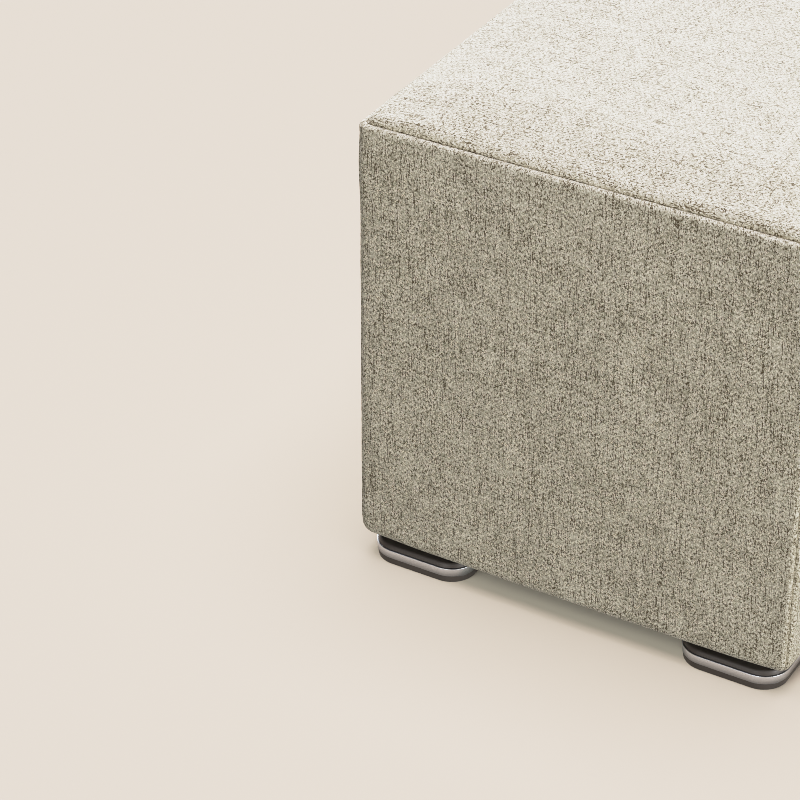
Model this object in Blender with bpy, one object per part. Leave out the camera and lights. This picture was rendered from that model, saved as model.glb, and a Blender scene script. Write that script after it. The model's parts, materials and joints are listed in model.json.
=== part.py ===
"""Cube pouf stool: padded cloth panels, sewn along the edges of a cube, on four low moulded feet.

Metres, +Z up. The front faces -Y, and the origin is on the floor under the middle of the pouf.
Every cloth panel is one filled solid: its padded outer surface, closed behind by mitred edges and
a flat back, so that neighbouring panels meet at their sewn seam and run on as mitre joints.
"""

import math

import bmesh
import bpy

GAP = 0.0003  # between neighbouring pieces

# The cube
BODY_WIDTH = 0.450  # over two facing side panels at their corners
SIDE_HEIGHT = 0.4463  # from the underside to the ridge of the top seam
PAD_DEPTH = 0.030  # cloth and padding of a panel
UNDERSIDE_DEPTH = 0.012

# Side panels
CORNER_RADIUS = 0.009
BOTTOM_RADIUS = 0.016
BOTTOM_TUCK = 0.0019  # the lower corners are drawn in this much further
BOTTOM_TUCK_HEIGHT = 0.030
BOTTOM_TUCK_REACH = 0.050
LIP_RADIUS = 0.0036  # roll of cloth along the top seam
LIP_TURN = math.radians(115)  # how far that roll turns before it drops into the seam
SEAM_DEPTH = 0.0024  # from the ridge down into the seam
CORNER_SEAM_DEPTH = 0.0012
CORNER_SEAM_WIDTH = 0.0022
CORNER_DRAW = 0.0007  # the cloth is drawn in towards the corner seams
CORNER_DRAW_REACH = 0.007
SIDE_BULGE = 0.0025  # padding stands out this far halfway along a side
BOTTOM_BULGE_SHARE = 0.7
BULGE_REACH = 0.120  # the bulge grows over this height from either edge
SIDE_PUFF = 0.0014  # padding pushed into the upper corners
SIDE_PUFF_BELOW_RIDGE = 0.042
SIDE_PUFF_REACH = 0.028

# Top panel
ROLL_RADIUS = 0.0075  # its edge rolls up out of the seam
ROLL_WALL = 0.0032
CROWN = 0.0120
CROWN_REACH = 0.068  # the crown is reached this far in from the seam
DOME = 0.0015  # the middle stands this much above the crown
TOP_PUFF = 0.0024
TOP_PUFF_FROM_CORNER = 0.046
TOP_PUFF_REACH = 0.030

# Feet, measured from the floor
FOOT_HEIGHT = 0.0219
FOOT_INSET_X = 0.062  # from the side's face to the foot's middle
FOOT_INSET_Y = 0.0535
FOOT_CORE = 0.0259  # half of the square whose offset gives every outline of the foot
FOOT_CORNER_STEPS = 6
GROOVE_HALF = 0.0501
GROOVE_BOTTOM = 0.0072
GROOVE_TOP = 0.0167
BAND_THICKNESS = 0.0020
BAND_EDGE = 0.0005

# How finely the panels are divided
ARC_STEPS = 6
FACE_STEPS = 7
SIDE_LINES = (0.0, 0.0012, 0.0026, 0.0044, 0.0066, 0.009, 0.016, 0.030, 0.058, 0.100, 0.155)
CROWN_LINES = (0.012, 0.021, 0.032, 0.046, 0.068, 0.105, 0.155)

HALF_WIDTH = BODY_WIDTH / 2
MITRE_GAP = GAP / math.sqrt(2)  # each panel keeps this far from a corner's diagonal, along X
SEAM_INSET = LIP_RADIUS * (1 - math.cos(LIP_TURN))
SEAM_LEVEL = SIDE_HEIGHT - SEAM_DEPTH
BACK_LEVEL = SIDE_HEIGHT - PAD_DEPTH  # underneath the top panel, above the underside
TOP_HALF = HALF_WIDTH - SEAM_INSET - 2 * MITRE_GAP


def material(name, colour, roughness, metallic=0.0):
    """A plain finish."""
    made = bpy.data.materials.new(name)
    made.use_nodes = True
    shader = made.node_tree.nodes["Principled BSDF"]
    shader.inputs["Base Color"].default_value = (*colour, 1.0)
    shader.inputs["Roughness"].default_value = roughness
    shader.inputs["Metallic"].default_value = metallic
    return made


def add_object(name, mesh, finish, collection, place=(0, 0, 0), turn=0.0):
    """Puts a mesh in the pouf's collection, turned about Z and set down at its place."""
    if not mesh.materials:
        mesh.materials.append(finish)
    piece = bpy.data.objects.new(name, mesh)
    piece.location = place
    piece.rotation_euler = (0, 0, turn)
    collection.objects.link(piece)
    return piece


def finish_mesh(bm, name, sharp_angle):
    """Turns a bmesh into a smooth shaded mesh with its faces pointing out."""
    bmesh.ops.recalc_face_normals(bm, faces=bm.faces)
    mesh = bpy.data.meshes.new(name)
    bm.to_mesh(mesh)
    bm.free()
    mesh.shade_smooth()
    mesh.set_sharp_from_angle(angle=sharp_angle)
    return mesh


def ease(distance, reach):
    """Rises from 0 to 1 along a parabola that is level from `reach` on."""
    left = 1 - min(max(distance, 0), reach) / reach
    return 1 - left * left


def bump(distance, middle, reach):
    """A soft hump, 1 high at `middle`."""
    return math.exp(-(((distance - middle) / reach) ** 2))


def lower_share(height):
    """Falls softly from 1 at the underside to 0 at the height where the lower corners' tuck ends."""
    share = min(height / BOTTOM_TUCK_HEIGHT, 1)
    return 1 - share * share * (3 - 2 * share)


def mirrored_lines(lines, half):
    """Places of a panel's grid lines, from -half to half, given as distances from either edge."""
    left = [line - half for line in lines]
    return left + [0.0] + [-place for place in reversed(left)]


def padded_panel(name, columns, rows, place_point, back_point):
    """A filled panel: a flat grid whose points go to the padded surface, its border drawn back.

    place_point(column, row) gives a grid point's place on the padded surface, and
    back_point(place) gives the place on the flat back that a point of the border is joined to.
    """
    bm = bmesh.new()
    bmesh.ops.create_grid(bm, x_segments=columns - 1, y_segments=rows - 1, size=1)
    for point in bm.verts:
        column = round((point.co.x + 1) / 2 * (columns - 1))
        row = round((point.co.y + 1) / 2 * (rows - 1))
        point.co = place_point(column, row)
    border = [edge for edge in bm.edges if edge.is_boundary]
    drawn = bmesh.ops.extrude_edge_only(bm, edges=border)["geom"]
    for point in [item for item in drawn if isinstance(item, bmesh.types.BMVert)]:
        point.co = back_point(point.co)
    bmesh.ops.remove_doubles(bm, verts=bm.verts, dist=1e-6)
    bmesh.ops.holes_fill(bm, edges=[edge for edge in bm.edges if edge.is_boundary], sides=0)
    return finish_mesh(bm, name, math.radians(40))


def rounded_corner(across, depth, half, radius):
    """Moves a point near a square's corner onto the arc that rounds it.

    The point is at (across, depth) along one side of a square, `half` from its middle, with depth
    counted inwards. Returns its new place, and the direction in which the arc faces there.
    """
    beyond = abs(across) - (half - radius)
    if beyond <= 0 or radius <= 0:
        return across, depth, (0.0, -1.0)
    away = math.hypot(beyond, radius)
    facing = (math.copysign(beyond / away, across), -radius / away)
    core = math.copysign(half - radius, across)
    return core + radius * facing[0], depth + radius + radius * facing[1], facing


def side_profile():
    """(depth from the face, height above the underside) from the bottom roll up into the seam."""
    bottom = [math.pi * (1.5 - 0.5 * step / ARC_STEPS) for step in range(ARC_STEPS + 1)]
    points = [
        (BOTTOM_RADIUS * (1 + math.cos(turn)), BOTTOM_RADIUS * (1 + math.sin(turn)))
        for turn in bottom
    ]
    straight = SIDE_HEIGHT - LIP_RADIUS - BOTTOM_RADIUS
    for step in range(1, FACE_STEPS):
        points.append((0.0, BOTTOM_RADIUS + straight * step / FACE_STEPS))
    for step in range(ARC_STEPS + 1):
        turn = LIP_TURN * step / ARC_STEPS
        height = SIDE_HEIGHT - LIP_RADIUS + LIP_RADIUS * math.sin(turn)
        points.append((LIP_RADIUS * (1 - math.cos(turn)), height))
    points.append((SEAM_INSET, SEAM_LEVEL))
    return points


def side_panel_mesh():
    """One side panel, standing with its face at y = -HALF_WIDTH."""
    profile = side_profile()
    lines = mirrored_lines(SIDE_LINES, HALF_WIDTH)
    back_half = HALF_WIDTH - PAD_DEPTH - MITRE_GAP

    def place_point(column, row):
        depth, height = profile[row]
        half = HALF_WIDTH - depth - MITRE_GAP
        across = lines[column] * half / HALF_WIDTH
        from_end = HALF_WIDTH - abs(lines[column])
        radius = CORNER_RADIUS * (1 - depth / PAD_DEPTH)
        across, depth, facing = rounded_corner(across, depth, half, radius)
        below_ridge = SIDE_HEIGHT - height
        seam_share = ease(height, BOTTOM_RADIUS) * ease(below_ridge - SEAM_DEPTH, CORNER_RADIUS)
        outward = -CORNER_SEAM_DEPTH * seam_share * bump(from_end, 0, CORNER_SEAM_WIDTH)
        outward -= CORNER_DRAW * seam_share * math.exp(-from_end / CORNER_DRAW_REACH)
        outward -= BOTTOM_TUCK * lower_share(height) * bump(from_end, 0, BOTTOM_TUCK_REACH)
        outward += SIDE_PUFF * bump(below_ridge, SIDE_PUFF_BELOW_RIDGE, SIDE_PUFF_REACH) * bump(
            from_end, 0, SIDE_PUFF_REACH
        )
        low_share = BOTTOM_BULGE_SHARE + (1 - BOTTOM_BULGE_SHARE) * ease(height, BULGE_REACH)
        high_share = ease(below_ridge - LIP_RADIUS, BULGE_REACH)
        outward += SIDE_BULGE * low_share * high_share * (1 - (across / HALF_WIDTH) ** 2)
        across += outward * facing[0]
        depth += outward * facing[1]
        return across, depth - HALF_WIDTH, FOOT_HEIGHT + height

    def back_point(place):
        across = max(-back_half, min(back_half, place.x))
        height = min(place.z, FOOT_HEIGHT + BACK_LEVEL)
        return across, PAD_DEPTH - HALF_WIDTH, height

    return padded_panel("side_panel", len(lines), len(profile), place_point, back_point)


def top_lines():
    """Distances of the top panel's outer grid lines from its seam, in from the edge."""
    roll = [
        ROLL_RADIUS * (1 - math.cos(math.pi / 2 * step / (ARC_STEPS + 1)))
        for step in range(ARC_STEPS + 1)
    ]
    return [0.0] + roll + list(CROWN_LINES)


def top_height(from_x, from_y):
    """Height of the top panel's surface above its seam, at two distances from its edges."""
    near = min(from_x, from_y)
    far = max(from_x, from_y)
    rolled = 1 - min(near, ROLL_RADIUS) / ROLL_RADIUS
    roll = ROLL_WALL + ROLL_RADIUS * math.sqrt(1 - rolled * rolled)
    crown = CROWN * ease(from_x, CROWN_REACH) * ease(from_y, CROWN_REACH)
    dome = DOME * ease(from_x, TOP_HALF) * ease(from_y, TOP_HALF)
    puff = TOP_PUFF * bump(far, TOP_PUFF_FROM_CORNER, TOP_PUFF_REACH) * bump(
        near, 0, TOP_PUFF_REACH
    )
    return roll + crown + dome + puff


def top_panel_mesh():
    """The crowned top panel. Its outermost ring of points is the seam, at the foot of the roll."""
    lines = mirrored_lines(top_lines(), TOP_HALF)
    last = len(lines) - 1
    corner = CORNER_RADIUS * (1 - SEAM_INSET / PAD_DEPTH)
    back_half = HALF_WIDTH - PAD_DEPTH - 2 * MITRE_GAP

    def place_point(column, row):
        x, y = lines[column], lines[row]
        from_x, from_y = TOP_HALF - abs(x), TOP_HALF - abs(y)
        in_seam = min(column, last - column, row, last - row) == 0
        rise = 0.0 if in_seam else top_height(from_x, from_y)
        ring = max(abs(x), abs(y))
        radius = max(corner - (TOP_HALF - ring), 0)
        if abs(y) >= abs(x):
            x, depth, _ = rounded_corner(x, TOP_HALF - ring, ring, radius)
            y = math.copysign(TOP_HALF - depth, y)
        else:
            y, depth, _ = rounded_corner(y, TOP_HALF - ring, ring, radius)
            x = math.copysign(TOP_HALF - depth, x)
        return x, y, FOOT_HEIGHT + SEAM_LEVEL + rise

    def back_point(place):
        x = max(-back_half, min(back_half, place.x))
        y = max(-back_half, min(back_half, place.y))
        return x, y, FOOT_HEIGHT + BACK_LEVEL

    return padded_panel("top_panel", len(lines), len(lines), place_point, back_point)


def underside_mesh():
    """The plain covered board that closes the pouf from below, between the side panels."""
    half = HALF_WIDTH - PAD_DEPTH - GAP
    bm = bmesh.new()
    bmesh.ops.create_cube(bm, size=1)
    bmesh.ops.scale(bm, vec=(2 * half, 2 * half, UNDERSIDE_DEPTH), verts=bm.verts)
    bmesh.ops.translate(bm, vec=(0, 0, UNDERSIDE_DEPTH / 2), verts=bm.verts)
    return finish_mesh(bm, "underside_panel", math.radians(40))


def foot_outline(half, height):
    """Points of a rounded square round the foot's axis."""
    radius = half - FOOT_CORE
    points = []
    for corner in range(4):
        middle = math.pi * (0.25 + 0.5 * corner)
        core_x = math.copysign(FOOT_CORE, math.cos(middle))
        core_y = math.copysign(FOOT_CORE, math.sin(middle))
        for step in range(FOOT_CORNER_STEPS + 1):
            turn = math.pi / 2 * (corner + step / FOOT_CORNER_STEPS)
            x = core_x + radius * math.cos(turn)
            points.append((x, core_y + radius * math.sin(turn), height))
    return points


def loft(name, sections, is_ring):
    """Joins rounded squares of different sizes, as a block with flat ends or as a closed ring."""
    bm = bmesh.new()
    loops = [[bm.verts.new(point) for point in foot_outline(*section)] for section in sections]
    count = len(loops[0])
    pairs = list(zip(loops, loops[1:]))
    if is_ring:
        pairs.append((loops[-1], loops[0]))
    else:
        bm.faces.new(loops[0])
        bm.faces.new(loops[-1])
    for low, high in pairs:
        for i in range(count):
            j = (i + 1) % count
            bm.faces.new((low[i], low[j], high[j], high[i]))
    return finish_mesh(bm, name, math.radians(30))


def foot_mesh():
    """The moulded foot: a base, the groove that the band sits in, and a sloping shoulder."""
    sections = (
        # half width, height
        (0.0504, 0.0),
        (0.0511, 0.0008),
        (0.0518, GROOVE_BOTTOM),
        (GROOVE_HALF, GROOVE_BOTTOM),
        (GROOVE_HALF, GROOVE_TOP),
        (0.0517, GROOVE_TOP),
        (0.0506, 0.0203),
        (0.0495, FOOT_HEIGHT - GAP),
    )
    return loft("foot", sections, is_ring=False)


def band_mesh():
    """The metal band round the foot, a little wider at the top, with eased edges."""
    inner = GROOVE_HALF + GAP
    low, high = GROOVE_BOTTOM + GAP, GROOVE_TOP - GAP
    bottom_half = inner + BAND_THICKNESS
    top_half = bottom_half + BAND_EDGE
    sections = (
        # half width, height
        (inner, low),
        (bottom_half - BAND_EDGE, low),
        (bottom_half, low + BAND_EDGE),
        (top_half, high - BAND_EDGE),
        (top_half - BAND_EDGE, high),
        (inner, high),
    )
    return loft("foot_band", sections, is_ring=True)


def build():
    """Clears the scene and makes the pouf."""
    for old in list(bpy.data.objects):
        bpy.data.objects.remove(old, do_unlink=True)
    pouf = bpy.data.collections.new("cube_pouf_stool")
    bpy.context.scene.collection.children.link(pouf)

    cloth = material("woven_cloth", (0.47, 0.44, 0.36), 0.95)
    dust_cloth = material("dust_cloth", (0.045, 0.042, 0.040), 0.95)
    plastic = material("moulded_plastic", (0.055, 0.043, 0.038), 0.45)
    metal = material("brushed_metal", (0.62, 0.60, 0.59), 0.30, metallic=1.0)

    add_object("top_panel", top_panel_mesh(), cloth, pouf)
    add_object("underside_panel", underside_mesh(), dust_cloth, pouf, (0, 0, FOOT_HEIGHT))
    side = side_panel_mesh()
    for quarter, name in enumerate(("front", "right", "back", "left")):
        add_object(f"{name}_panel", side, cloth, pouf, turn=quarter * math.pi / 2)
    foot, band = foot_mesh(), band_mesh()
    for along, y in (("front", FOOT_INSET_Y - HALF_WIDTH), ("back", HALF_WIDTH - FOOT_INSET_Y)):
        for beside, x in (("left", FOOT_INSET_X - HALF_WIDTH), ("right", HALF_WIDTH - FOOT_INSET_X)):
            add_object(f"foot_{along}_{beside}", foot, plastic, pouf, (x, y, 0))
            add_object(f"foot_band_{along}_{beside}", band, metal, pouf, (x, y, 0))


build()
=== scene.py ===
import json
import math

import bpy
import numpy as np
from mathutils import Matrix, Vector

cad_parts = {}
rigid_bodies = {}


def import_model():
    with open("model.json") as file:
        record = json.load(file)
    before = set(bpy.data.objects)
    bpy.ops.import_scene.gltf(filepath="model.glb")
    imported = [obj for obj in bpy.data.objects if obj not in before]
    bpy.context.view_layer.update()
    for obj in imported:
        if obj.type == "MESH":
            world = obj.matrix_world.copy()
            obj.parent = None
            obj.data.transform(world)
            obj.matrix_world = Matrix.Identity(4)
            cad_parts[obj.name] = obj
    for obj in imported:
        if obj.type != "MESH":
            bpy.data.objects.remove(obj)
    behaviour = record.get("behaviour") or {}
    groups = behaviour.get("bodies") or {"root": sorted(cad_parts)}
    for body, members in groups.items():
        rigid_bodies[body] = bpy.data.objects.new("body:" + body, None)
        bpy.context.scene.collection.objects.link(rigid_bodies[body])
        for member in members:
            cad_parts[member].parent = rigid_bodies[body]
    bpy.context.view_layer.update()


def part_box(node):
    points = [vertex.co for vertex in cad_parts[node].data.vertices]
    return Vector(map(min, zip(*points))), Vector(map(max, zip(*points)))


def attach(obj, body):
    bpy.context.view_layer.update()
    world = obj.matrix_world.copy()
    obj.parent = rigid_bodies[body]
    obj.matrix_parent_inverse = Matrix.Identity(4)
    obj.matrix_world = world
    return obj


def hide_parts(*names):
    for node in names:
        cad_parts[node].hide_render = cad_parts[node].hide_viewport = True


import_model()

# Looks of the cube pouf stool: tweed covers sewn along the edges of a cube, on four banded feet.
# Metres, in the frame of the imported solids: +Z up, the front faces -Y, the floor is z = 0.
# Every cover is a surface worked out on a grid, and stays within 3 mm of the solid that it replaces.

# The cube
GAP = 0.0003  # between neighbouring pieces
BODY_WIDTH = 0.450  # over two facing side covers at their corners
SIDE_HEIGHT = 0.4463  # from the underside to the ridge of the top seam
PAD_DEPTH = 0.030  # cloth and padding of a cover
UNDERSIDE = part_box("underside_panel")[0].z  # height of the underside above the floor

# Side covers
CORNER_RADIUS = 0.009
BOTTOM_RADIUS = 0.016
BOTTOM_TUCK = 0.0019  # the lower corners are drawn in this much further
BOTTOM_TUCK_HEIGHT = 0.030
BOTTOM_TUCK_REACH = 0.050
LIP_RADIUS = 0.0036  # roll of cloth along the top seam
LIP_TURN = math.radians(115)  # how far that roll turns before it drops into the seam
SEAM_DEPTH = 0.0024  # from the ridge down into the seam
SEAM_WIDTH = 0.0011  # of the furrow between the roll and the top cover
CORNER_SEAM_DEPTH = 0.0012  # of the groove along the corner seams
CORNER_SEAM_WIDTH = 0.0018
CORNER_DRAW = 0.0010  # the cloth is drawn in towards the corner seams
CORNER_DRAW_REACH = 0.009
SIDE_BULGE = 0.0025  # padding stands out this far halfway along a side
BOTTOM_BULGE_SHARE = 0.7  # this much of the bulge is left at the bottom edge
BULGE_REACH = 0.120  # it grows over this height from either edge
SIDE_PUFF = 0.0014  # padding pushed into the upper corners
SIDE_PUFF_BELOW_RIDGE = 0.042
SIDE_PUFF_REACH = 0.028

# Top cover
ROLL_RADIUS = 0.0060  # its edge rolls up out of the seam
ROLL_WALL = 0.0024
CROWN = 0.0150  # height above the rolled edge
CROWN_STRAIGHT = 0.030  # it rises at an even slope up to here
CROWN_REACH = 0.090  # and is level from here on, both counted in from the seam
DOME = 0.0015  # the middle stands this much above the crown
TOP_PUFF = 0.0024  # padding pushed into the corners
TOP_PUFF_FROM_CORNER = 0.046
TOP_PUFF_REACH = 0.030

# Sewing and padding, on all covers
ALLOWANCE_WIDTH = 0.0095  # cloth turned in behind each seam
ALLOWANCE_RISE = 0.00018  # how far it pushes the cover out
ALLOWANCE_EASE = 0.0025  # it does so fully from this distance on
ALLOWANCE_EDGE = 0.0012  # and ends in a slope of this width
PUCKER_DEPTH = 0.00010  # small gathers along the seams
PUCKER_LENGTHS = (0.006, 0.017)
PUCKER_COUNT = 12
PUCKER_EASE = 0.0012  # they start over this distance from the seam
PUCKER_REACH = 0.008  # and fade away over about this
RELIEF_EASE = 0.004  # the relief along the top seam fades out over this distance from the corner seams
WAVE_HEIGHT = 0.00035  # unevenness of the padding
WAVE_LENGTHS = (0.060, 0.170)
WAVE_COUNT = 16
WAVE_EASE = 0.030  # it fades out over this distance from the seams

# Feet, measured from the floor
FOOT_CORE = 0.0259  # half of the square whose offset gives every outline of the foot
GROOVE_HALF = 0.0501
GROOVE_BOTTOM = 0.0072
GROOVE_TOP = 0.0167
BAND_THICKNESS = 0.0020
BAND_EDGE = 0.0005

# Dust cloth under the pouf
DUST_CLOTH_THICKNESS = 0.0006
HEM_WIDTH = 0.014
HEM_STEP = 0.0005
HEM_STEP_REACH = 0.0006  # to either side of the hem's edge
SLACK = 0.0009
SLACK_REACH = 0.12
SLACK_WAVES = (0.05, 0.16)  # lengths of its shallow waves
SLACK_SPREAD = 0.5  # how much they change it

# The weave: ends run up the sides and picks across, in a small pointed twill. Heights are shares of a
# yarn's thickness.
END_PITCH = 0.000717
PICK_PITCH = 0.000690
TWILL_ENDS = 6  # the twill line turns back after this many ends
YARN_WAVE = 0.60  # a yarn rises and falls this far as it passes over and under
END_PROUD = 0.25  # the ends stand this much above the picks
DRIFT = 0.0040  # the yarns stray slowly within this width
SHAKE = 0.0007  # and over a short way within this one
SLUB_LENGTH = 0.060  # scale of the noise that makes a yarn paler and darker along its length
RUN_LENGTH = 0.020  # and of the one that draws its short dark lengths
RUN_PROUD = 0.8  # the short dark lengths are thicker, and stand this much higher
PICK_RUN_SHARE = 0.6  # those of the picks are weaker
PICK_SPREAD = 0.7  # and so is the spread of their shades
TOP_CLOTH_START = (3.0, 0.1)  # each cover is cut from another place of the cloth
SIDE_CLOTH_STEP = (0.61, 0.17)

# Colours, and the faint even light of the room
# the dark yarn's colour is also used as painted shade in the depths between the yarns
DARK_YARN_AND_DEPTH_SHADE = (0.094, 0.068, 0.034, 1)
MID_YARN = (0.400, 0.360, 0.256, 1)
LIGHT_YARN = (0.930, 0.858, 0.700, 1)
PLASTIC_BROWNS = ((0.034, 0.028, 0.024, 1), (0.046, 0.038, 0.033, 1))
# the band's colour runs from these, painted shade at its lower edge, to the next ones, a painted
# reflection at its upper edge
LOWER_STEELS_PAINTED_SHADE = ((0.15, 0.158, 0.170, 1), (0.21, 0.221, 0.238, 1))
UPPER_STEELS_PAINTED_REFLECTION = ((0.58, 0.612, 0.662, 1), (0.70, 0.738, 0.798, 1))
FELT_BLACKS = ((0.028, 0.026, 0.025, 1), (0.062, 0.058, 0.055, 1))
FLOOR_COLOUR = (0.503, 0.408, 0.337, 1)
ROOM_COLOUR = (1.0, 0.98, 0.95, 1)
ROOM_STRENGTH = 0.07

# How finely the shapes are divided
SEAM_SPACING = 0.0005  # between grid lines at a seam
OPEN_SPACING = 0.0026  # between grid lines in the middle of a cover
SPACING_GROWTH = 1.16
MOST_SPACINGS = 400  # more than there are in half a cover
ARC_STEPS = 10  # round each roll of a cover
OUTLINE_STEPS = 16  # round each corner of a foot
EASED_STEPS = 5  # round each eased corner of a profile

HALF_WIDTH = BODY_WIDTH / 2
MITRE_GAP = GAP / math.sqrt(2)
SEAM_INSET = LIP_RADIUS * (1 - math.cos(LIP_TURN))
SEAM_BACK = SEAM_INSET + SEAM_WIDTH
SEAM_LEVEL = SIDE_HEIGHT - SEAM_DEPTH
BACK_LEVEL = SIDE_HEIGHT - PAD_DEPTH
TOP_HALF = HALF_WIDTH - SEAM_BACK - 2 * MITRE_GAP

# The camera, solved from the edges of the front cover in the photograph
CAMERA_AZIMUTH = math.radians(30.1586)
CAMERA_ELEVATION = math.radians(32.9030)
CAMERA_ROLL = math.radians(0.1676)
CAMERA_DISTANCE = 2.7287
CAMERA_AIM = Vector((0, -HALF_WIDTH, 0.2))  # a point of the front cover, its height above the underside
CAMERA_SHIFT = (-0.15450, 0.024617)  # the view's middle from there, to the right and up in the view
PICTURE_WIDTH = 800  # pixels
FOCAL_LENGTH = 3046.93  # in the picture's pixels, as solved
SENSOR_WIDTH = 36.0

# The picture's brightest tones roll off softly
SHOULDER_START = 0.40  # tones up to here stay as lit
SHOULDER_ROOM = 0.50  # above that they level off over this much more
SHOULDER_END = 4.0  # the brightest tone that the curve holds


# ---------------------------------------------------------------- shapes of the covers


def ease(distance, reach):
    """Rises from 0 to 1 along a parabola that is level from `reach` on."""
    return 1 - (1 - np.clip(distance / reach, 0, 1)) ** 2


def slope_and_ease(distance, straight, reach):
    """Rises from 0 to 1, at an even slope up to `straight` and then easing, level from `reach` on."""
    bend = np.clip(distance - straight, 0, reach - straight)
    risen = np.minimum(distance, reach) - bend * bend / (2 * (reach - straight))
    return risen * 2 / (straight + reach)


def smooth(value, low, high):
    """Rises from 0 at `low` to 1 at `high`, level at both ends."""
    share = np.clip((value - low) / (high - low), 0, 1)
    return share * share * (3 - 2 * share)


def hump(distance, middle, reach):
    """A soft bump, 1 high at `middle`."""
    return np.exp(-(((distance - middle) / reach) ** 2))


def waves(seed, lengths, across, up):
    """Unevenness with a spread of about 1: the sum of cosine waves whose directions and phases are
    drawn at random, and their lengths between the two given ones."""
    draw = np.random.default_rng(seed)
    length = draw.uniform(*lengths, WAVE_COUNT)
    heading = draw.uniform(0, 2 * math.pi, WAVE_COUNT)
    phase = draw.uniform(0, 2 * math.pi, WAVE_COUNT)
    way = across[..., None] * np.cos(heading) + up[..., None] * np.sin(heading)
    return np.cos(2 * math.pi * way / length + phase).sum(-1) * math.sqrt(2 / WAVE_COUNT)


def puckers(seed, along):
    """Gathers along a seam: the sum of cosine waves of random length and phase along it."""
    draw = np.random.default_rng(seed)
    length = draw.uniform(*PUCKER_LENGTHS, PUCKER_COUNT)
    phase = draw.uniform(0, 2 * math.pi, PUCKER_COUNT)
    return np.cos(2 * math.pi * along[..., None] / length + phase).sum(-1) / math.sqrt(PUCKER_COUNT / 2)


def sewn_relief(seed, along, from_seam):
    """What the sewing does to a cover near one seam: the turned-in cloth lifts it a little up to the
    allowance's edge, and the stitches gather it in small puckers that fade away from the seam."""
    lift = smooth(from_seam, 0, ALLOWANCE_EASE)
    lift = lift * (1 - smooth(from_seam, ALLOWANCE_WIDTH - ALLOWANCE_EDGE, ALLOWANCE_WIDTH))
    gather = smooth(from_seam, 0, PUCKER_EASE) * np.exp(-from_seam / PUCKER_REACH)
    return ALLOWANCE_RISE * lift + PUCKER_DEPTH * gather * puckers(seed, along)


def graded_lines(half):
    """Places of grid lines from -half to half, close together at the ends: the spacing grows by a
    steady factor from the seam until it reaches that of the open cloth."""
    steps = np.minimum(SEAM_SPACING * SPACING_GROWTH ** np.arange(MOST_SPACINGS), OPEN_SPACING)
    from_end = np.concatenate([[0.0], np.cumsum(steps)])
    from_end = from_end[: np.searchsorted(from_end, half)]
    left = np.append(from_end, half) - half
    return np.concatenate([left, -left[-2::-1]])


def round_corner(across, depth, half, radius):
    """Moves points near a square's corner onto the arc that rounds it, for a side whose middle is at
    across = 0 and whose depth is counted inwards. Gives their places and the way they face."""
    radius = np.maximum(radius, 1e-9)
    beyond = np.abs(across) - (half - radius)
    away = np.hypot(beyond, radius)
    turned = beyond > 0
    face_across = np.where(turned, np.sign(across) * beyond / away, 0.0)
    face_out = np.where(turned, radius / away, 1.0)
    across = np.where(turned, np.sign(across) * (half - radius) + radius * face_across, across)
    depth = np.where(turned, depth + radius - radius * face_out, depth)
    return across, depth, face_across, face_out


def side_profile():
    """Depth from the face and height above the underside, from the roll under the side, a quarter
    circle, up the face and over the lip, part of a small circle, down into the seam and across the
    furrow at its foot."""
    bottom = np.linspace(0, math.pi / 2, ARC_STEPS + 1)
    lip = np.linspace(0, LIP_TURN, ARC_STEPS + 1)
    face_low, face_high = BOTTOM_RADIUS, SIDE_HEIGHT - LIP_RADIUS
    face = graded_lines((face_high - face_low) / 2)[1:-1] + (face_low + face_high) / 2
    depth = np.concatenate([
        BOTTOM_RADIUS * (1 - np.sin(bottom)),
        np.zeros_like(face),
        LIP_RADIUS * (1 - np.cos(lip)),
        [SEAM_INSET, SEAM_INSET, SEAM_BACK],
    ])
    height = np.concatenate([
        BOTTOM_RADIUS * (1 - np.cos(bottom)),
        face,
        face_high + LIP_RADIUS * np.sin(lip),
        [SEAM_LEVEL + SEAM_DEPTH / 4, SEAM_LEVEL, SEAM_LEVEL],
    ])
    return depth[:, None], height[:, None]


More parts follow.
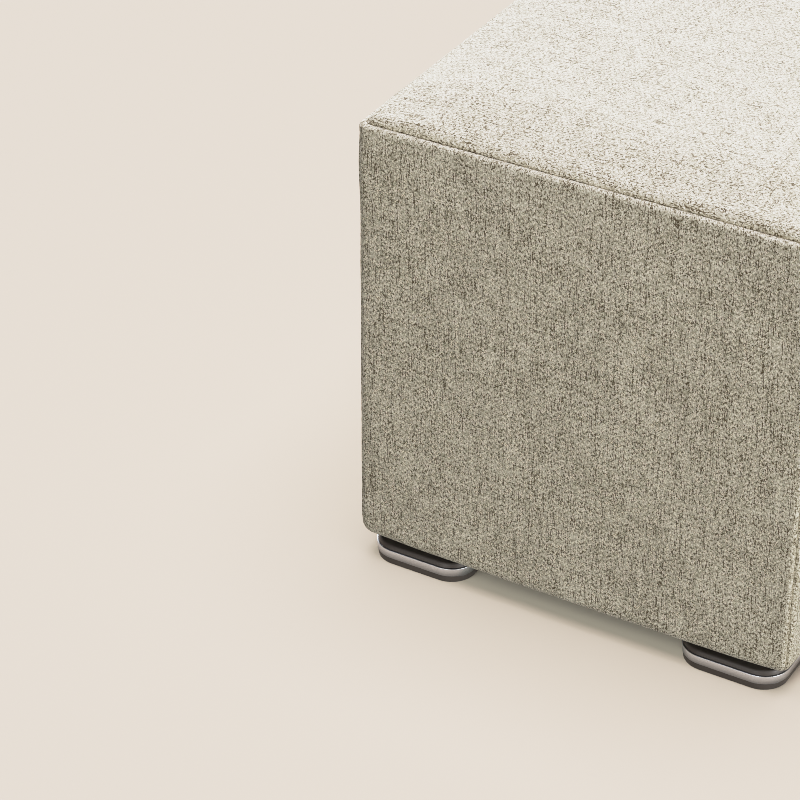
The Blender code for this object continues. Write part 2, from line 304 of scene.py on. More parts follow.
def side_surface(seed):
    """The outer surface of a side cover that stands at y = -HALF_WIDTH: the side's profile carried
    across it and round both corners, moved outwards by the padding's bulge, the puffs in the upper
    corners, the sewing's relief and the padding's unevenness, and inwards at the corner seams and in
    the lower corners."""
    depth, height = side_profile()
    lines = graded_lines(HALF_WIDTH)[None, :]
    half = HALF_WIDTH - depth - MITRE_GAP
    radius = CORNER_RADIUS * (1 - depth / PAD_DEPTH)
    from_end = HALF_WIDTH - np.abs(lines)
    below_ridge = SIDE_HEIGHT - height
    across, depth, face_across, face_out = round_corner(lines * half / HALF_WIDTH, depth, half, radius)

    open_share = ease(height, BOTTOM_RADIUS) * ease(below_ridge - SEAM_DEPTH, CORNER_RADIUS)
    outward = -CORNER_SEAM_DEPTH * open_share * hump(from_end, 0, CORNER_SEAM_WIDTH)
    outward = outward - CORNER_DRAW * open_share * np.exp(-from_end / CORNER_DRAW_REACH)
    low = 1 - smooth(height, 0, BOTTOM_TUCK_HEIGHT)
    outward = outward - BOTTOM_TUCK * low * hump(from_end, 0, BOTTOM_TUCK_REACH)
    upper = hump(below_ridge, SIDE_PUFF_BELOW_RIDGE, SIDE_PUFF_REACH)
    outward = outward + SIDE_PUFF * upper * hump(from_end, 0, SIDE_PUFF_REACH)
    low_share = BOTTOM_BULGE_SHARE + (1 - BOTTOM_BULGE_SHARE) * ease(height, BULGE_REACH)
    high_share = ease(below_ridge - LIP_RADIUS, BULGE_REACH)
    outward = outward + SIDE_BULGE * low_share * high_share * (1 - (across / HALF_WIDTH) ** 2)
    on_face = open_share * smooth(from_end, 0, RELIEF_EASE)
    outward = outward + open_share * sewn_relief(seed + 1, height + 0 * lines, from_end)
    outward = outward + on_face * sewn_relief(seed + 2, lines + 0 * height, below_ridge)
    inner = ease(from_end, WAVE_EASE) * ease(below_ridge, WAVE_EASE)
    outward = outward + WAVE_HEIGHT * inner * waves(seed, WAVE_LENGTHS, lines, height)
    across = across + outward * face_across
    depth = depth - outward * face_out
    return np.stack([across, depth - HALF_WIDTH, UNDERSIDE + height + 0 * lines], axis=-1)


def top_rise(from_x, from_y):
    """Height of the top cover above its seam: a quarter circle rolls up out of a short wall. A crown
    that rises at an even slope before it eases, a shallow dome and the puffs near the corners are
    added to it, each worked out from both edges."""
    near = np.minimum(from_x, from_y)
    far = np.maximum(from_x, from_y)
    rolled = 1 - np.minimum(near, ROLL_RADIUS) / ROLL_RADIUS
    roll = ROLL_WALL + ROLL_RADIUS * np.sqrt(1 - rolled * rolled)
    crown = CROWN * slope_and_ease(from_x, CROWN_STRAIGHT, CROWN_REACH)
    crown = crown * slope_and_ease(from_y, CROWN_STRAIGHT, CROWN_REACH)
    dome = DOME * ease(from_x, TOP_HALF) * ease(from_y, TOP_HALF)
    puff = hump(far, TOP_PUFF_FROM_CORNER, TOP_PUFF_REACH) * hump(near, 0, TOP_PUFF_REACH)
    return roll + crown + dome + TOP_PUFF * puff


def top_surface(seed):
    """The outer surface of the top cover: a square grid with rounded corners, raised by top_rise and
    by the sewing and the padding. Its outermost ring is the seam, at the foot of the wall."""
    turn = np.linspace(0, math.pi / 2, ARC_STEPS + 1)
    roll = ROLL_RADIUS * (1 - np.cos(turn))
    open_half = TOP_HALF - ROLL_RADIUS
    crown = graded_lines(open_half)
    crown = ROLL_RADIUS + (crown[crown <= 0] + open_half)[1:]
    from_edge = np.concatenate([[0.0], roll, crown])
    from_edge[-1] = TOP_HALF
    places = np.concatenate([from_edge - TOP_HALF, (TOP_HALF - from_edge)[-2::-1]])
    x, y = places[None, :] + 0 * places[:, None], places[:, None] + 0 * places[None, :]
    from_x, from_y = TOP_HALF - np.abs(x), TOP_HALF - np.abs(y)
    near = np.minimum(from_x, from_y)

    rise = top_rise(from_x, from_y)
    along = np.where(np.abs(y) >= np.abs(x), x, y)
    inner = ease(near, WAVE_EASE)
    rise += smooth(near, 0, ROLL_RADIUS) * sewn_relief(seed + 1, along, near)
    rise += WAVE_HEIGHT * inner * waves(seed, WAVE_LENGTHS, x, y)
    rise[[0, -1], :] = 0
    rise[:, [0, -1]] = 0

    ring = TOP_HALF - near
    corner = np.maximum(CORNER_RADIUS * (1 - SEAM_BACK / PAD_DEPTH) - near, 0)
    x_far, x_depth, _, _ = round_corner(x, near, ring, corner)
    y_far, y_depth, _, _ = round_corner(y, near, ring, corner)
    facing_y = np.abs(y) >= np.abs(x)
    placed_x = np.where(facing_y, x_far, np.sign(x) * (TOP_HALF - y_depth))
    placed_y = np.where(facing_y, np.sign(y) * (TOP_HALF - x_depth), y_far)
    return np.stack([placed_x, placed_y, UNDERSIDE + SEAM_LEVEL + rise], axis=-1)


# ---------------------------------------------------------------- putting surfaces into meshes


def grid_quads(rows, columns):
    """The quads of a grid of points that are numbered row by row, each turning anticlockwise when
    rows run up and columns run to the right."""
    first = np.arange(rows - 1)[:, None] * columns + np.arange(columns - 1)[None, :]
    above = first + columns
    return np.stack([first, first + 1, above + 1, above], axis=-1).reshape(-1, 4)


def build_mesh(name, points, faces, corner_map):
    """A smooth shaded mesh from an array of points, a list of face arrays and, for every corner of
    every face, its place on the cloth or along the metal, in metres."""
    mesh = bpy.data.meshes.new(name)
    loops = np.concatenate([part.ravel() for part in faces]).astype(np.int32)
    sizes = np.concatenate([np.full(len(part), part.shape[1]) for part in faces]).astype(np.int32)
    mesh.vertices.add(len(points))
    mesh.vertices.foreach_set("co", np.asarray(points, np.float32).ravel())
    mesh.loops.add(len(loops))
    mesh.loops.foreach_set("vertex_index", loops)
    mesh.polygons.add(len(sizes))
    mesh.polygons.foreach_set("loop_start", (np.cumsum(sizes) - sizes).astype(np.int32))
    mesh.update(calc_edges=True)
    layer = mesh.uv_layers.new(name="cloth_place")
    layer.uv.foreach_set("vector", np.asarray(corner_map, np.float32).ravel())
    mesh.validate()
    mesh.shade_smooth()
    return mesh


def add_piece(name, mesh, finish, replaced):
    """Shows a finished mesh in the place of the solids that it stands for."""
    mesh.materials.append(finish)
    piece = bpy.data.objects.new(name, mesh)
    bpy.context.scene.collection.objects.link(piece)
    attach(piece, "root")
    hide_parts(*replaced)
    return piece


def cloth_lengths(surface):
    """How far each grid line is along the cloth, measured on the surface through its middle."""
    rows, columns = surface.shape[:2]
    up = np.linalg.norm(np.diff(surface[:, columns // 2], axis=0), axis=1)
    across = np.linalg.norm(np.diff(surface[rows // 2], axis=0), axis=1)
    return np.append(0.0, np.cumsum(across)), np.append(0.0, np.cumsum(up))


def filled_cover_mesh(name, surface, back, cloth_start, cloth_turned):
    """A closed, filled cover: the grid of its surface, mitred edges drawn back from its border to the
    flat back, and the back fanned out from its middle. `back` moves border points onto the back.
    With `cloth_turned` the cloth's ends run along x, and its picks along y."""
    rows, columns = surface.shape[:2]
    number = np.arange(rows * columns).reshape(rows, columns)
    border = np.concatenate([number[0, :-1], number[:-1, -1], number[-1, :0:-1], number[:0:-1, 0]])
    front = surface.reshape(-1, 3)
    ring = back(front[border])
    points = np.concatenate([front, ring, ring.mean(0, keepdims=True)])
    behind = len(front) + np.arange(len(border))
    middle = np.full(len(border), len(points) - 1)
    edges = np.stack([np.roll(border, -1), border, behind, np.roll(behind, -1)], axis=-1)
    fan = np.stack([np.roll(behind, -1), behind, middle], axis=-1)
    faces = [grid_quads(rows, columns), edges, fan]

    across, up = cloth_lengths(surface)
    cloth = np.stack(np.broadcast_arrays(across[None, :], up[:, None]), axis=-1).reshape(-1, 2)
    if cloth_turned:
        cloth = cloth[:, ::-1]
    cloth = np.concatenate([cloth, cloth[border], cloth.mean(0, keepdims=True)]) + cloth_start
    corners = np.concatenate([part.ravel() for part in faces])
    return build_mesh(name, points, faces, cloth[corners])


def side_back(border):
    """Points of a side cover's border, drawn back to the plane behind the padding."""
    share = (HALF_WIDTH - PAD_DEPTH - MITRE_GAP) / np.abs(border[:, 0]).max()
    height = (border[:, 2] - UNDERSIDE) * BACK_LEVEL / SEAM_LEVEL
    height = np.minimum(height, BACK_LEVEL)
    plane = np.full_like(height, PAD_DEPTH - HALF_WIDTH)
    return np.stack([border[:, 0] * share, plane, UNDERSIDE + height], axis=-1)


def top_back(border):
    """Points of the top cover's seam, drawn down to the plane behind the padding."""
    share = (HALF_WIDTH - PAD_DEPTH - 2 * MITRE_GAP) / np.abs(border[:, :2]).max()
    drawn = border * share
    drawn[:, 2] = UNDERSIDE + BACK_LEVEL
    return drawn


def turned(points, quarter):
    """Points turned about Z by a number of right angles, exactly."""
    cosine, sine = ((1, 0), (0, 1), (-1, 0), (0, -1))[quarter]
    x, y, z = np.moveaxis(points, -1, 0)
    return np.stack([cosine * x - sine * y, sine * x + cosine * y, z], axis=-1)


# ---------------------------------------------------------------- node helpers


class Graph:
    """Adds nodes to one tree. An input is given as a number, a colour or another node's output."""

    def __init__(self, tree):
        self.tree = tree

    def feed(self, sockets, inputs):
        """Sets sockets to numbers and colours, and joins them to other nodes' outputs."""
        for socket, value in inputs.items():
            if isinstance(value, bpy.types.NodeSocket):
                self.tree.links.new(value, sockets[socket])
            else:
                sockets[socket].default_value = value

    def node(self, kind, inputs=None, **settings):
        made = self.tree.nodes.new(kind)
        for key, value in settings.items():
            setattr(made, key, value)
        self.feed(made.inputs, inputs or {})
        return made

    def math(self, operation, *values):
        inputs = dict(enumerate(values))
        return self.node("ShaderNodeMath", inputs, operation=operation).outputs[0]

    def vector(self, operation, *values):
        inputs = dict(enumerate(values))
        return self.node("ShaderNodeVectorMath", inputs, operation=operation).outputs[0]

    def split(self, vector):
        return self.node("ShaderNodeSeparateXYZ", {0: vector}).outputs

    def join(self, x, y, z=0.0):
        return self.node("ShaderNodeCombineXYZ", {0: x, 1: y, 2: z}).outputs[0]

    def noise(self, place, scale=1.0, detail=2.0, roughness=0.5, output="Fac"):
        inputs = {"Vector": place, "Scale": scale, "Detail": detail, "Roughness": roughness}
        made = self.node("ShaderNodeTexNoise", inputs, noise_dimensions="2D")
        return made.outputs[output]

    def span(self, value, low, high, to_low=0.0, to_high=1.0):
        inputs = {"Value": value, "From Min": low, "From Max": high, "To Min": to_low, "To Max": to_high}
        return self.node("ShaderNodeMapRange", inputs, interpolation_type="SMOOTHSTEP").outputs[0]

    def mix(self, share, first, second):
        return self.node("ShaderNodeMix", {0: share, 6: first, 7: second}, data_type="RGBA").outputs[2]

    def mix_places(self, share, first, second):
        return self.node("ShaderNodeMix", {0: share, 4: first, 5: second}, data_type="VECTOR").outputs[1]


def new_group(name, inputs, outputs):
    """An empty shader node group with the named sockets, its graph, and its input's outputs."""
    group = bpy.data.node_groups.new(name, "ShaderNodeTree")
    for in_out, sockets in (("INPUT", inputs), ("OUTPUT", outputs)):
        for socket, kind in sockets:
            group.interface.new_socket(socket, in_out=in_out, socket_type=kind)
    graph = Graph(group)
    return group, graph, graph.node("NodeGroupInput").outputs, graph.node("NodeGroupOutput").inputs


def new_material(name):
    """A material with its graph and its Principled BSDF."""
    made = bpy.data.materials.new(name)
    made.use_nodes = True
    graph = Graph(made.node_tree)
    shader = made.node_tree.nodes["Principled BSDF"]
    return made, graph, shader


# ---------------------------------------------------------------- finishes


def tweed_group():
    """A woven cloth of mixed yarns. Ends run along y and picks along x, interlaced two over and two
    under in a line that zigzags over the ends. Every float has its own shade, drawn at random. Every
    yarn has its own run of slubs, and short lengths of it are darker and thicker. Each yarn reads
    its own track of a noise, and a salt keeps the tracks of ends and picks apart."""
    group, g, given, out = new_group(
        "tweed weave",
        [("Place", "NodeSocketVector"), ("Dark yarn and painted depth shade", "NodeSocketColor"), ("Mid yarn", "NodeSocketColor"),
         ("Light yarn", "NodeSocketColor")],
        [("Colour", "NodeSocketColor"), ("Height", "NodeSocketFloat"), ("Fleck mask", "NodeSocketFloat")],
    )

    def off_middle(value):
        """A noise or a drawn number, counted from its middle."""
        return g.math("SUBTRACT", value, 0.5)

    def rounded(position):
        """Height across a yarn: a parabola, 1 in its middle and 0 at its sides."""
        off_axis = g.math("MULTIPLY_ADD", g.math("FRACT", position), 2.0, -1.0)
        return g.math("SUBTRACT", 1.0, g.math("MULTIPLY", off_axis, off_axis))

    def wave(place_in_repeat):
        """How high the end lies: a wave along it, two picks over and two under."""
        return g.math("SINE", g.math("MULTIPLY", place_in_repeat, math.pi / 2))

    def slubs(index, along, salt):
        """Paler and darker lengths of a yarn, apart for every yarn."""
        track = g.math("MULTIPLY_ADD", index, 7.31, salt)
        return g.noise(g.join(track, g.math("DIVIDE", along, SLUB_LENGTH)), 1.0, 3.0, 0.6)

    def dark_runs(index, along, salt):
        """Short lengths of a yarn spun darker and thicker, apart for every yarn."""
        track = g.math("MULTIPLY_ADD", index, 5.17, salt)
        return g.span(g.noise(g.join(track, g.math("DIVIDE", along, RUN_LENGTH)), 1.0, 1.0), 0.62, 0.72)

    # Where each yarn lies
    middle = (0.5, 0.5, 0.5)
    drift = g.vector("SUBTRACT", g.noise(given["Place"], 24.0, 1.0, output="Color"), middle)
    shake = g.vector("SUBTRACT", g.noise(given["Place"], 620.0, 1.0, output="Color"), middle)
    place = g.vector("MULTIPLY_ADD", drift, (DRIFT, DRIFT, 0), given["Place"])
    place = g.vector("MULTIPLY_ADD", shake, (SHAKE, SHAKE, 0), place)
    x, y, _ = g.split(place)
    end_place, pick_place = g.math("DIVIDE", x, END_PITCH), g.math("DIVIDE", y, PICK_PITCH)
    end, pick = g.math("FLOOR", end_place), g.math("FLOOR", pick_place)
    step = g.math("ADD", pick_place, g.math("PINGPONG", end, float(TWILL_ENDS)))
    step_at_pick = g.math("ADD", step, g.math("SUBTRACT", g.math("ADD", pick, 0.5), pick_place))

    # Which yarn lies on top
    end_run = dark_runs(end, y, 0.91)
    pick_run = g.math("MULTIPLY", dark_runs(pick, x, 203.7), PICK_RUN_SHARE)
    end_height = g.math("MULTIPLY_ADD", wave(step), YARN_WAVE, rounded(end_place))
    end_height = g.math("MULTIPLY_ADD", end_run, RUN_PROUD, g.math("ADD", end_height, END_PROUD))
    pick_height = g.math("MULTIPLY_ADD", wave(step_at_pick), -YARN_WAVE, rounded(pick_place))
    pick_height = g.math("MULTIPLY_ADD", pick_run, RUN_PROUD, pick_height)
    end_on_top = g.math("GREATER_THAN", end_height, pick_height)
    height = g.math("MAXIMUM", end_height, pick_height)

    def picked(on_end, on_pick):
        """The value of whichever yarn lies on top."""
        return g.math("MULTIPLY_ADD", end_on_top, g.math("SUBTRACT", on_end, on_pick), on_pick)

    # Its shade: that of the float, with slubs, dark runs, fibres, faint clouds and the twill's wales
    end_float = g.join(end, g.math("FLOOR", g.math("DIVIDE", step, 4.0)))
    pick_pair = g.math("FLOOR", g.math("MULTIPLY", g.math("ADD", end, pick), 0.5))
    pick_float = g.join(pick_pair, g.math("ADD", pick, 0.5))
    number = g.mix_places(end_on_top, pick_float, end_float)
    drawn = g.node("ShaderNodeTexWhiteNoise", {"Vector": number}, noise_dimensions="2D").outputs["Value"]
    shade = picked(drawn, g.math("MULTIPLY_ADD", off_middle(drawn), PICK_SPREAD, 0.5))
    slub = picked(slubs(end, y, 0.37), slubs(pick, x, 411.3))
    fibre = g.noise(given["Place"], 2600.0, 1.0)
    cloud = g.noise(given["Place"], 45.0, 2.0)
    wale = g.math("SINE", g.math("MULTIPLY", step, math.pi / 4))
    shade = g.math("MULTIPLY_ADD", off_middle(slub), 1.2, shade)
    shade = g.math("MULTIPLY_ADD", picked(end_run, pick_run), -0.60, shade)
    shade = g.math("MULTIPLY_ADD", off_middle(fibre), 0.6, shade)
    shade = g.math("MULTIPLY_ADD", off_middle(cloud), 0.15, shade)
    shade = g.math("MULTIPLY_ADD", wale, 0.13, shade)

    # Its colour: dark flecks where the float's shade is low, and painted shade in the depths between the
    # yarns, where the dark yarn's colour stands in for shadow
    fleck = g.span(shade, 0.26, 0.06)
    colour = g.mix(g.span(shade, 0.25, 1.15), given["Mid yarn"], given["Light yarn"])
    colour = g.mix(fleck, colour, given["Dark yarn and painted depth shade"])
    # painted shade: the lower a point lies between the yarns, the more of the dark yarn's colour it takes
    colour = g.mix(g.span(height, 1.05, 0.35, 0.0, 0.7), colour, given["Dark yarn and painted depth shade"])
    g.feed(out, {"Colour": colour, "Height": height, "Fleck mask": fleck})
    return group


def woven_cloth(weave):
    """The cream and olive tweed of the covers."""
    made, g, shader = new_material("woven_cloth")
    place = g.node("ShaderNodeUVMap", uv_map="cloth_place").outputs[0]
    yarns = {"Place": place, "Dark yarn and painted depth shade": DARK_YARN_AND_DEPTH_SHADE, "Mid yarn": MID_YARN, "Light yarn": LIGHT_YARN}
    tweed = g.node("ShaderNodeGroup", yarns, node_tree=weave).outputs
    bump = g.node("ShaderNodeBump", {"Height": tweed["Height"], "Strength": 0.7, "Distance": 0.00018})
    g.feed(shader.inputs, {
        "Base Color": tweed["Colour"],
        "Roughness": g.span(tweed["Fleck mask"], 0.0, 1.0, 0.88, 0.97),
        "Normal": bump.outputs[0],
        "Sheen Weight": 0.15,
        "Sheen Roughness": 0.45,
        "Specular IOR Level": 0.25,
    })
    return made


def foot_plastic():
    """Dark brown moulded plastic, satin with a faint grain."""
    made, g, shader = new_material("foot_plastic")
    place = g.node("ShaderNodeTexCoord").outputs["Object"]
    grain = g.node("ShaderNodeTexNoise", {"Vector": place, "Scale": 1600.0, "Detail": 2.0}).outputs["Fac"]
    smear = g.node("ShaderNodeTexNoise", {"Vector": place, "Scale": 60.0, "Detail": 3.0}).outputs["Fac"]
    bump = g.node("ShaderNodeBump", {"Height": grain, "Strength": 0.25, "Distance": 0.00006})
    g.feed(shader.inputs, {
        "Base Color": g.mix(g.span(smear, 0.3, 0.7), *PLASTIC_BROWNS),
        "Roughness": g.span(smear, 0.25, 0.75, 0.42, 0.55),
        "Normal": bump.outputs[0],
        "Specular IOR Level": 0.45,
    })
    return made


def foot_band_metal():
    """Steel brushed along the band in fine and coarse lines. Its colour is painted: a painted reflection
    makes it bright along its upper edge, and painted shade makes it darker towards the lower one."""
    made, g, shader = new_material("foot_band")
    place = g.node("ShaderNodeUVMap", uv_map="cloth_place").outputs[0]
    along, across, _ = g.split(place)
    fine = g.join(g.math("MULTIPLY", along, 110.0), g.math("MULTIPLY", across, 6500.0))
    coarse = g.join(g.math("MULTIPLY", along, 30.0), g.math("MULTIPLY", across, 1800.0))
    fine_lines, coarse_lines = g.noise(fine, 1.0, 3.0, 0.6), g.noise(coarse, 1.0, 2.0)
    brushed = g.math("MULTIPLY_ADD", coarse_lines, 0.5, g.math("MULTIPLY", fine_lines, 0.5))
    bump = g.node("ShaderNodeBump", {"Height": brushed, "Strength": 0.35, "Distance": 0.00005})
    height = g.split(g.node("ShaderNodeTexCoord").outputs["Object"])[2]
    # share of painted reflection over painted shade: 0 at the band's lower edge, 1 at its upper edge
    painted_reflection_share = g.math("DIVIDE", g.math("SUBTRACT", height, GROOVE_BOTTOM), GROOVE_TOP - GROOVE_BOTTOM)
    line = g.span(brushed, 0.35, 0.65)
    g.feed(shader.inputs, {
        "Base Color": g.mix(painted_reflection_share, g.mix(line, *LOWER_STEELS_PAINTED_SHADE), g.mix(line, *UPPER_STEELS_PAINTED_REFLECTION)),
        "Roughness": g.span(brushed, 0.35, 0.65, 0.38, 0.26),
        "Normal": bump.outputs[0],
        "Metallic": 1.0,
    })
    return made


def dust_cloth_felt():
    """Black unwoven dust cloth: matted fibres with a pressed grid of small dimples, a sine wave along
    each way of the cloth."""
    made, g, shader = new_material("dust_cloth")
    place = g.node("ShaderNodeUVMap", uv_map="cloth_place").outputs[0]
    fibres = g.noise(place, 1400.0, 3.0, 0.65)
    x, y, _ = g.split(place)
    across, along = (g.math("SINE", g.math("MULTIPLY", way, 3300.0)) for way in (x, y))
    height = g.math("MULTIPLY_ADD", g.math("MULTIPLY", across, along), 0.25, fibres)
    bump = g.node("ShaderNodeBump", {"Height": height, "Strength": 0.5, "Distance": 0.00015})
    g.feed(shader.inputs, {
        "Base Color": g.mix(g.span(fibres, 0.3, 0.7), *FELT_BLACKS),
        "Normal": bump.outputs[0],
        "Roughness": 0.95,
        "Specular IOR Level": 0.2,
    })
    return made


# ---------------------------------------------------------------- feet and underside


def eased_profile(corners):
    """A profile with its corners cut round: each corner is given as (half width, height, ease), and a
    parabola joins the two points that lie `ease` away from it along its two sides."""
    corners = np.array(corners)
    places, cut = corners[:, :2], corners[:, 2:]
    before, after = np.roll(places, 1, axis=0) - places, np.roll(places, -1, axis=0) - places
    start = places + cut * before / np.linalg.norm(before, axis=1, keepdims=True)
    stop = places + cut * after / np.linalg.norm(after, axis=1, keepdims=True)
    share = np.linspace(0, 1, EASED_STEPS + 1)[None, :, None]
    curve = (1 - share) ** 2 * start[:, None] + 2 * share * (1 - share) * places[:, None]
    return (curve + share**2 * stop[:, None]).reshape(-1, 2)


def rounded_square(half):
    """The outline of a foot for an array of half widths: four arcs about the corners of the core
    square, which the straight sides join. Gives x and y, one row for every half width."""
    turn = np.linspace(0, math.pi / 2, OUTLINE_STEPS + 1)
    turn = (turn[None, :] + math.pi / 2 * np.arange(4)[:, None]).ravel()
    quarter = np.repeat(np.arange(4), OUTLINE_STEPS + 1)
    core_x = FOOT_CORE * np.array([1, -1, -1, 1])[quarter]
    core_y = FOOT_CORE * np.array([1, 1, -1, -1])[quarter]
    radius = np.asarray(half)[:, None] - FOOT_CORE
    return core_x + radius * np.cos(turn), core_y + radius * np.sin(turn)


def carried_round(name, profile, middle, ring):
    """A profile carried round a foot's outline: a ring that closes on itself, or a block whose flat
    ends are fanned out from their middles."""
    x, y = rounded_square(profile[:, 0])
    rows, columns = x.shape
    z = profile[:, 1][:, None] + 0 * x
    points = np.stack([x + middle[0], y + middle[1], z], axis=-1)
    round_way = np.linalg.norm(np.diff(points[0], axis=0, append=points[0, :1]), axis=1)
    round_way = np.append(0.0, np.cumsum(round_way))
    over_way = np.linalg.norm(np.diff(profile, axis=0, append=profile[:1]), axis=1)
    over_way = np.append(0.0, np.cumsum(over_way))
    row = np.arange(rows if ring else rows - 1)[:, None]
    column = np.arange(columns)[None, :]
    next_row, next_column = row + 1, column + 1
    ways = [(row, column), (row, next_column), (next_row, next_column), (next_row, column)]
    quads = np.stack([(r % rows) * columns + c % columns for r, c in ways], axis=-1).reshape(-1, 4)
    marks = [np.stack(np.broadcast_arrays(round_way[c], over_way[r]), axis=-1) for r, c in ways]
    marks = np.stack(marks, axis=2).reshape(-1, 2)
    points = points.reshape(-1, 3)
    if ring:
        return build_mesh(name, points, [quads], marks)
    low, high = (middle[0], middle[1], profile[0, 1]), (middle[0], middle[1], profile[-1, 1])
    points = np.concatenate([points, [low, high]])
    around = np.arange(columns)
    after = (around + 1) % columns
    last = (rows - 1) * columns
    low_fan = np.stack([after, around, np.full(columns, rows * columns)], axis=-1)
    high_fan = np.stack([last + around, last + after, np.full(columns, rows * columns + 1)], axis=-1)
    fans = np.concatenate([low_fan, high_fan])
    marks = np.concatenate([marks, points[fans.ravel(), :2]])
    return build_mesh(name, points, [quads, fans], marks)


def foot_profile():
    """The moulded foot from the floor up: the base, the groove for the band, and the shoulder."""
    return eased_profile((
        # half width, height, how much of the corner is eased
        (0.0504, 0.0, 0.0),
        (0.0511, 0.0008, 0.0006),
        (0.0518, GROOVE_BOTTOM, 0.0006),
        (GROOVE_HALF, GROOVE_BOTTOM, 0.0002),
        (GROOVE_HALF, GROOVE_TOP, 0.0002),
        (0.0517, GROOVE_TOP, 0.0005),
        (0.0506, 0.0203, 0.0008),
        (0.0495, UNDERSIDE - GAP, 0.0),
    ))


def band_profile():
    """The band's section: flat sides with eased edges, a little wider at the top."""
    inner = GROOVE_HALF + GAP
    low, high = GROOVE_BOTTOM + GAP, GROOVE_TOP - GAP
    bottom_half = inner + BAND_THICKNESS
    return eased_profile((
        # half width, height, how much of the corner is eased
        (inner, low, 0.0003),
        (bottom_half, low, BAND_EDGE),
        (bottom_half + BAND_EDGE, high, BAND_EDGE * 1.2),
        (inner, high, 0.0003),
    ))


def dust_cloth_mesh():
    """The dust cloth seen from below: a flat square, slack in its middle by shallow waves, with the
    turned-in hem a small step lower all round. Its grid faces down."""
    low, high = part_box("underside_panel")
    half = high.x
    lines = graded_lines(half)
    hem_line = half - HEM_WIDTH + HEM_STEP_REACH
    lines = np.unique(np.concatenate([lines, [-hem_line, hem_line]]))
    x, y = lines[None, ::-1] + 0 * lines[:, None], lines[:, None] + 0 * lines[None, :]
    near = half - np.maximum(np.abs(x), np.abs(y))
    inside = smooth(near, HEM_WIDTH - HEM_STEP_REACH, HEM_WIDTH + HEM_STEP_REACH)
    uneven = 1 + SLACK_SPREAD * waves(71, SLACK_WAVES, x, y)
    slack = SLACK * ease(near - HEM_WIDTH, SLACK_REACH) * uneven
    z = low.z + HEM_STEP * inside + np.maximum(slack, 0)
    surface = np.stack([x, y, z], axis=-1)
    rows, columns = x.shape
    cloth = surface.reshape(-1, 3)[:, :2]
    quads = grid_quads(rows, columns)
    return build_mesh("dust_cloth", surface.reshape(-1, 3), [quads], cloth[quads.ravel()])


# ---------------------------------------------------------------- the pouf


def add_covers(cloth):
    """The top cover and the four side covers."""
    surface = top_surface(seed=11)
    mesh = filled_cover_mesh("top_cover", surface, top_back, TOP_CLOTH_START, cloth_turned=True)
    top = add_piece("top_cover", mesh, cloth, ["top_panel"])
    for quarter, side in enumerate(("front", "right", "back", "left")):
        surface = turned(side_surface(seed=20 + 10 * quarter), quarter)

        def back(border, quarter=quarter):
            return turned(side_back(turned(border, -quarter % 4)), quarter)

        start = [quarter * step for step in SIDE_CLOTH_STEP]
        mesh = filled_cover_mesh(f"{side}_cover", surface, back, start, cloth_turned=False)
        cover = add_piece(f"{side}_cover", mesh, cloth, [f"{side}_panel"])


def add_feet(plastic, metal):
    """Four moulded feet with their bands, each where its solid is."""
    for corner in ("front_left", "front_right", "back_left", "back_right"):
        low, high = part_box(f"foot_{corner}")
        middle = ((low.x + high.x) / 2, (low.y + high.y) / 2)
        mesh = carried_round(f"foot_moulding_{corner}", foot_profile(), middle, ring=False)
        add_piece(mesh.name, mesh, plastic, [f"foot_{corner}"])
        mesh = carried_round(f"foot_trim_{corner}", band_profile(), middle, ring=True)
        add_piece(mesh.name, mesh, metal, [f"foot_band_{corner}"])


def add_dust_cloth(felt):
    """The cloth that closes the pouf from below."""
    mesh = dust_cloth_mesh()
    piece = add_piece("dust_cloth", mesh, felt, ["underside_panel"])
    thick = piece.modifiers.new("thickness", "SOLIDIFY")
    thick.thickness = DUST_CLOTH_THICKNESS
    thick.offset = -1


# ---------------------------------------------------------------- stage, light and camera


def add_floor():
    """A plain pale floor that fills the view. It throws no diffuse light back onto the pouf."""
    bpy.ops.mesh.primitive_plane_add(size=40)
    floor = bpy.context.object
    floor.name = "floor"
    made, g, shader = new_material("pale_floor")
    g.feed(shader.inputs, {"Base Color": FLOOR_COLOUR, "Roughness": 1.0, "Specular IOR Level": 0.0})
    floor.data.materials.append(made)
    floor.visible_diffuse = False


def direction(azimuth, elevation):
    """The way from the pouf to a lamp or the camera, for angles in radians: azimuth 0 is in front of
    it, and a quarter turn is to its right."""
    level = math.cos(elevation)
    return Vector((math.sin(azimuth) * level, -math.cos(azimuth) * level, math.sin(elevation)))


def add_lamp(name, azimuth, elevation, strength, spread, lit, colour=(1, 1, 1)):
    """A soft lamp far away that lights one collection. Its angles and its spread are in degrees."""
    lamp = bpy.data.lights.new(name, "SUN")
    lamp.energy = strength
    lamp.angle = math.radians(spread)
    lamp.color = colour
    placed = bpy.data.objects.new(name, lamp)
    bpy.context.scene.collection.objects.link(placed)
    towards = direction(math.radians(azimuth), math.radians(elevation))
    placed.rotation_euler = towards.to_track_quat("Z", "Y").to_euler()
    placed.light_linking.receiver_collection = lit


def soften_highlights(view):
    """A film's shoulder: above SHOULDER_START a tone v is shown as
    start + room (1 - exp(-(v - start) / room))."""
    view.use_curve_mapping = True
    mapping = view.curve_mapping
    mapping.clip_max_x = SHOULDER_END
    mapping.clip_max_y = SHOULDER_END
    curve = mapping.curves[3]  # the one for all three colours together
    tones = np.concatenate([[0.0, SHOULDER_START / 2], np.geomspace(SHOULDER_START, SHOULDER_END, 10)])
    above = np.maximum(tones - SHOULDER_START, 0)
    shown = np.minimum(tones, SHOULDER_START) + SHOULDER_ROOM * (1 - np.exp(-above / SHOULDER_ROOM))
    for point, tone, value in zip(curve.points, (tones[0], tones[-1]), (shown[0], shown[-1])):
        point.location = (tone, value)
    for tone, value in zip(tones[1:-1], shown[1:-1]):
        curve.points.new(tone, value)
    mapping.update()


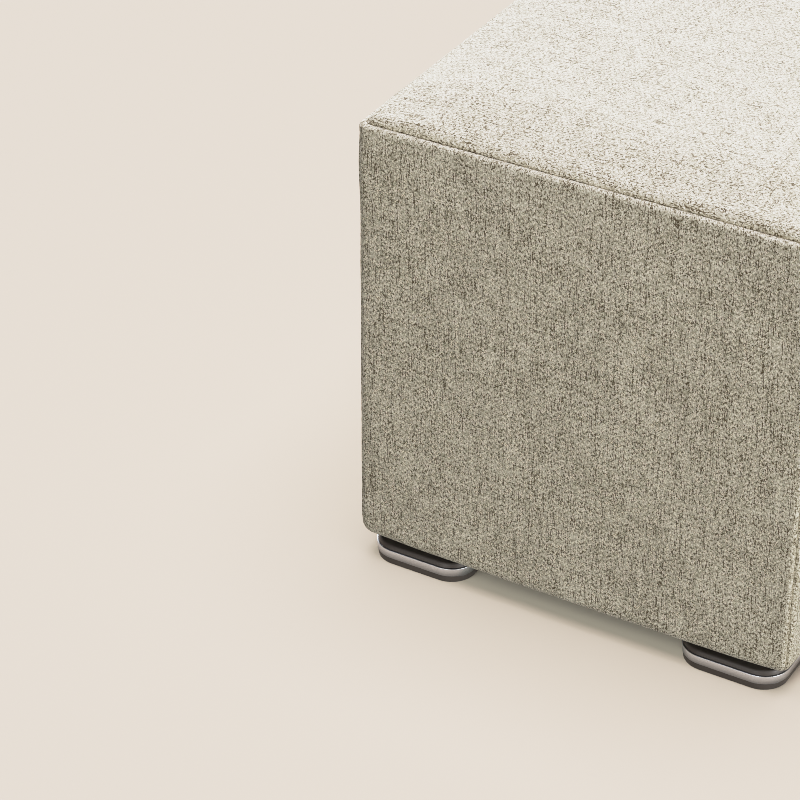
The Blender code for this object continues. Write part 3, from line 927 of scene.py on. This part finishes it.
def add_light():
    """Soft studio light. The pouf is lit from above, from behind and from the right, with a weak fill
    from the front. The floor is lit from above and, a little greener, from the front."""
    pouf = bpy.data.collections.new("pouf light")
    stage = bpy.data.collections.new("floor light")
    for thing in bpy.context.scene.objects:
        if thing.type == "MESH":
            (stage if thing.name == "floor" else pouf).objects.link(thing)
    world = bpy.data.worlds.new("studio")
    world.use_nodes = True
    background = world.node_tree.nodes["Background"]
    background.inputs["Color"].default_value = ROOM_COLOUR
    background.inputs["Strength"].default_value = ROOM_STRENGTH
    bpy.context.scene.world = world
    # name, azimuth, elevation, strength, spread, what it lights, colour
    add_lamp("overhead", 0, 90, 4.0, 18, pouf, (1.0, 0.98, 1.10))
    add_lamp("from_behind", 192, 16, 6.9, 30, pouf)
    add_lamp("from_behind_left", 232, 16, 2.8, 30, pouf)
    add_lamp("from_right", 80, 5, 4.2, 20, pouf)
    add_lamp("front_fill", 0, 5, 1.45, 20, pouf)
    add_lamp("floor_overhead", 0, 90, 5.0, 50, stage, (1.035, 0.98, 0.99))
    add_lamp("floor_front", 0, 30, 3.97, 60, stage, (0.91, 1.05, 1.02))


def set_picture():
    """How the lit tones are shown. A narrow pixel filter and raw passes for the denoiser keep the
    weave crisp."""
    scene = bpy.context.scene
    scene.view_settings.view_transform = "Standard"
    soften_highlights(scene.view_settings)
    scene.cycles.filter_width = 0.8
    scene.cycles.denoising_prefilter = "NONE"


def add_camera():
    """The photograph's camera: it looks from the right and above, past a point of the front cover."""
    backwards = direction(CAMERA_AZIMUTH, CAMERA_ELEVATION)
    level = Vector((math.cos(CAMERA_AZIMUTH), math.sin(CAMERA_AZIMUTH), 0))
    upright = backwards.cross(level)
    right = math.cos(CAMERA_ROLL) * level + math.sin(CAMERA_ROLL) * upright
    up = -math.sin(CAMERA_ROLL) * level + math.cos(CAMERA_ROLL) * upright
    aim = CAMERA_AIM + Vector((0, 0, UNDERSIDE)) + CAMERA_SHIFT[0] * right + CAMERA_SHIFT[1] * up
    camera = bpy.data.cameras.new("camera")
    camera.lens = FOCAL_LENGTH * SENSOR_WIDTH / PICTURE_WIDTH
    camera.sensor_width = SENSOR_WIDTH
    placed = bpy.data.objects.new("camera", camera)
    bpy.context.scene.collection.objects.link(placed)
    axes = Matrix((right, up, backwards)).transposed().to_4x4()
    placed.matrix_world = Matrix.Translation(aim + CAMERA_DISTANCE * backwards) @ axes
    bpy.context.scene.camera = placed


add_camera()
add_covers(woven_cloth(tweed_group()))
add_feet(foot_plastic(), foot_band_metal())
add_dust_cloth(dust_cloth_felt())
add_floor()
add_light()
set_picture()
